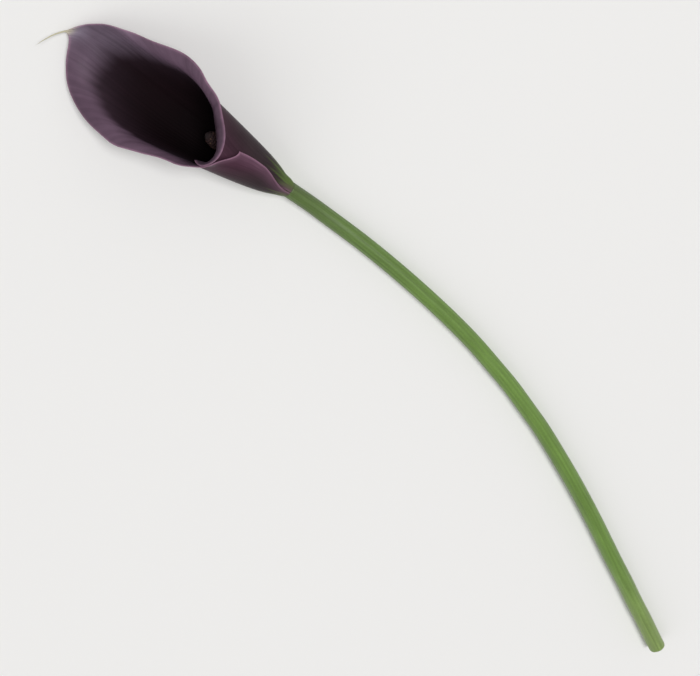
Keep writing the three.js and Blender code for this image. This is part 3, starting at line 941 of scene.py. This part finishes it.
def floret_height(phi, z):
    """Relief in mm and tone: big ovaries at the foot, small slit cushions above."""
    d1, tone1, _ = dome_grid(phi, z, OVARY_COUNT, OVARY_STEP)
    ovary = 0.75 * np.sqrt(np.clip(1 - 0.8 * d1**2, 0, 1)) + 0.12 * bell(d1, 0.25)
    d2, tone2, dx = dome_grid(phi, z, CUSHION_COUNT, CUSHION_STEP)
    cushion = (0.42 + 0.22 * tone2) * np.clip(1 - d2**2.6, 0, 1) ** 0.5
    cushion = cushion - 0.12 * bell(dx + 0.5 * (tone2 - 0.5), 0.16) * bell(d2, 0.7)
    blend = smooth(CUSHIONS_FROM, CUSHIONS_ONLY, z)
    edge = smooth(0, 1.5, z) * smooth(0, 3.0, SPADIX_LENGTH - z)
    return (ovary * (1 - blend) + cushion * blend) * edge, tone2 * blend + tone1 * (1 - blend)


# %% Build the spadix
SPIKE_ROWS = 330
SPIKE_SIDES = 192
TIP_GAP = 0.02
row_z = SPADIX_LENGTH * (1 - (1 - np.linspace(0, 1, SPIKE_ROWS)) ** 1.12)
row_z[-1] = SPADIX_LENGTH - TIP_GAP
spike_phi = 2 * np.pi * np.arange(SPIKE_SIDES) / SPIKE_SIDES
Z, SPIKE_PHI = np.meshgrid(row_z, spike_phi, indexing="ij")
relief_mm, tone = floret_height(SPIKE_PHI, Z)
spike_r = spike_radius(Z / SPADIX_LENGTH) + relief_mm
spike = np.stack([spike_r * np.cos(SPIKE_PHI), spike_r * np.sin(SPIKE_PHI), Z + SPADIX_FOOT], -1)
spike_ends = [[0, 0, SPADIX_FOOT], [0, 0, SPADIX_FOOT + SPADIX_LENGTH]]
spike_points = head_to_frame(np.concatenate([spike.reshape(-1, 3), spike_ends]))
spadix = new_piece("spadix_spike", spike_points, tube_faces(SPIKE_ROWS, SPIKE_SIDES))
face_outwards(spadix)
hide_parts("spadix")
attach(spadix, "root")
print("highest floret in mm:", relief_mm.max().round(2))

# %% [markdown]
# ## Plum and pollen
# In the dark kinds the spike is plum brown, with a dust of pollen, and the ovaries at its foot are
# dull green. The gaps between the florets are much darker, which is painted shade: colour follows the
# relief, so it is painted from the same heights.

# %% Paint the spadix
shaded_gap = np.array([0.012, 0.005, 0.006])
cushion_top = np.array([0.060, 0.024, 0.024])
pollen = np.array([0.17, 0.105, 0.055])
shaded_ovary_gap = np.array([0.03, 0.035, 0.012])
ovary_top = np.array([0.16, 0.19, 0.07])
top = np.clip(relief_mm / 0.55, 0, 1)
# Painted shade: the colour darkens from the top of each floret down into the gaps between them.
cushion_tint = mix(shaded_gap, cushion_top, top**1.5)
cushion_tint = mix(cushion_tint, pollen, 0.4 * smooth(0.6, 1.0, tone) * top**3)
ovary_tint = mix(shaded_ovary_gap, ovary_top, top)
spike_tint = mix(ovary_tint, cushion_tint, smooth(11.4, 12.8, Z))
store_colour(spadix, "tint", np.concatenate([spike_tint.reshape(-1, 3), [shaded_gap, cushion_top]]))

# %% Material of the spadix
spike_material, tree, shader = new_material("plum_spadix")
object_place = tree.nodes.new("ShaderNodeTexCoord").outputs["Object"]
dust = noise(tree, object_place, scale=3200.0, detail=3.0)
clouds = noise(tree, object_place, scale=220.0, detail=2.0)
dust_gain = ramp(tree, dust, low=0.75, high=1.3, start=0.3, end=0.7)
cloud_gain = ramp(tree, clouds, low=0.8, high=1.2, start=0.3, end=0.7)
tint_colour(tree, shader, math_node(tree, "MULTIPLY", dust_gain, cloud_gain))
tree.links.new(ramp(tree, dust, low=0.6, high=0.85), shader.inputs["Roughness"])
bump(tree, shader, dust, strength=0.5, depth_mm=0.1)
shader.inputs["Specular IOR Level"].default_value = 0.4
spadix.data.materials.append(spike_material)
print("nodes in the spadix's material:", len(tree.nodes))

# %% [markdown]
# ## A quiet place to lie
# The flower lies on a plain pale floor, so wide that its edge is never seen. The light is soft: a
# pale sky that is stronger near the horizon, a broad sun almost overhead that models the form of
# so dark a leaf, and a weak, very wide one from the other side that keeps the outside readable.

# %% Floor and light
FLOOR_REACH = 40.0
floor_mesh = bpy.data.meshes.new("floor")
floor_corners = [(x, y, 0) for x, y in [(-1, -1), (1, -1), (1, 1), (-1, 1)]]
floor_mesh.from_pydata((np.array(floor_corners) * FLOOR_REACH).tolist(), [], [(0, 1, 2, 3)])
floor = bpy.data.objects.new("floor", floor_mesh)
bpy.context.scene.collection.objects.link(floor)
floor_material, tree, shader = new_material("pale_floor")
shader.inputs["Base Color"].default_value = (0.85, 0.845, 0.835, 1)
shader.inputs["Roughness"].default_value = 0.7
floor_mesh.materials.append(floor_material)

world = bpy.data.worlds.new("studio")
world.use_nodes = True
sky = world.node_tree
direction = sky.nodes.new("ShaderNodeTexCoord")
parts = sky.nodes.new("ShaderNodeSeparateXYZ")
sky.links.new(direction.outputs["Generated"], parts.inputs["Vector"])
sky_light = ramp(sky, parts.outputs["Z"], low=0.80, high=0.26, start=0.0, end=0.6)
sky.links.new(sky_light, sky.nodes["Background"].inputs["Strength"])
sky.nodes["Background"].inputs["Color"].default_value = (1.0, 0.99, 0.98, 1)
bpy.context.scene.world = world
bpy.context.scene.view_settings.view_transform = "Standard"


def soft_sun(name, towards, power, spread):
    """A distant soft light that shines from a direction, as wide as spread degrees."""
    lamp = bpy.data.lights.new(name, "SUN")
    lamp.energy = power
    lamp.angle = math.radians(spread)
    holder = bpy.data.objects.new(name, lamp)
    bpy.context.scene.collection.objects.link(holder)
    holder.rotation_euler = Vector(towards).to_track_quat("Z", "Y").to_euler()


soft_sun("key", towards=(0.12, -0.4, 1.4), power=1.9, spread=24)
soft_sun("fill", towards=(0.1, 1.0, 0.9), power=0.45, spread=60)
print("lights:", sorted(lamp.name for lamp in bpy.data.lights))

# %% [markdown]
# ## The camera
# The photograph looks down into the face of the flower, with its tail at the upper left, so the
# camera stands high above the head and is turned until the face has that direction. It stays over
# the head, because the view into the funnel must not change, and turns and moves off until the
# whole flower fills the frame. A few rounds of a simple correction find that place: look, measure
# how far the flower is from the middle and the edges of the frame, and put part of that right.

# %% Camera
FRAME_WIDTH = 700
FRAME_HEIGHT = 676
FRAME_FILL = 0.93
AIM_ROUNDS = 30
AIM_PART = 0.7
camera_data = bpy.data.cameras.new("camera")
camera_data.lens = 60
camera = bpy.data.objects.new("camera", camera_data)
bpy.context.scene.collection.objects.link(camera)
bpy.context.scene.camera = camera
azimuth = math.radians(53)
elevation = math.radians(76)
bearing = math.radians(232)
look_back = np.array(
    [
        math.sin(azimuth) * math.cos(elevation),
        -math.cos(azimuth) * math.cos(elevation),
        math.sin(elevation),
    ]
)
picture_hint = np.array([-math.sin(bearing), math.cos(bearing), 0])
all_points = np.concatenate([spathe_points, scape_points, spike_points]) * MM
head_middle = spathe_points.mean(0) * MM
aim = all_points.mean(0)
distance = 0.8
half_view = 0.5 * camera_data.sensor_width / camera_data.lens
for _ in range(AIM_ROUNDS):
    place = head_middle + look_back * distance
    backward = (place - aim) / np.linalg.norm(place - aim)
    picture_right = np.cross(picture_hint, backward)
    picture_right = picture_right / np.linalg.norm(picture_right)
    picture_up = np.cross(backward, picture_right)
    seen = all_points - place
    depth = -seen @ backward
    across = seen @ picture_right / depth / half_view
    upward = seen @ picture_up / depth / half_view
    off_middle = np.array([across.max() + across.min(), upward.max() + upward.min()]) / 2
    wide = (across.max() - across.min()) / 2
    high = (upward.max() - upward.min()) / 2 * FRAME_WIDTH / FRAME_HEIGHT
    step = (picture_right * off_middle[0] + picture_up * off_middle[1]) * half_view
    aim = aim + AIM_PART * step * np.linalg.norm(place - aim)
    distance = distance * (max(wide, high) / FRAME_FILL) ** AIM_PART
turn_matrix = Matrix((picture_right, picture_up, backward)).transposed().to_4x4()
camera.matrix_world = Matrix.Translation(place) @ turn_matrix
print("camera to the head in metres:", round(float(distance), 3))
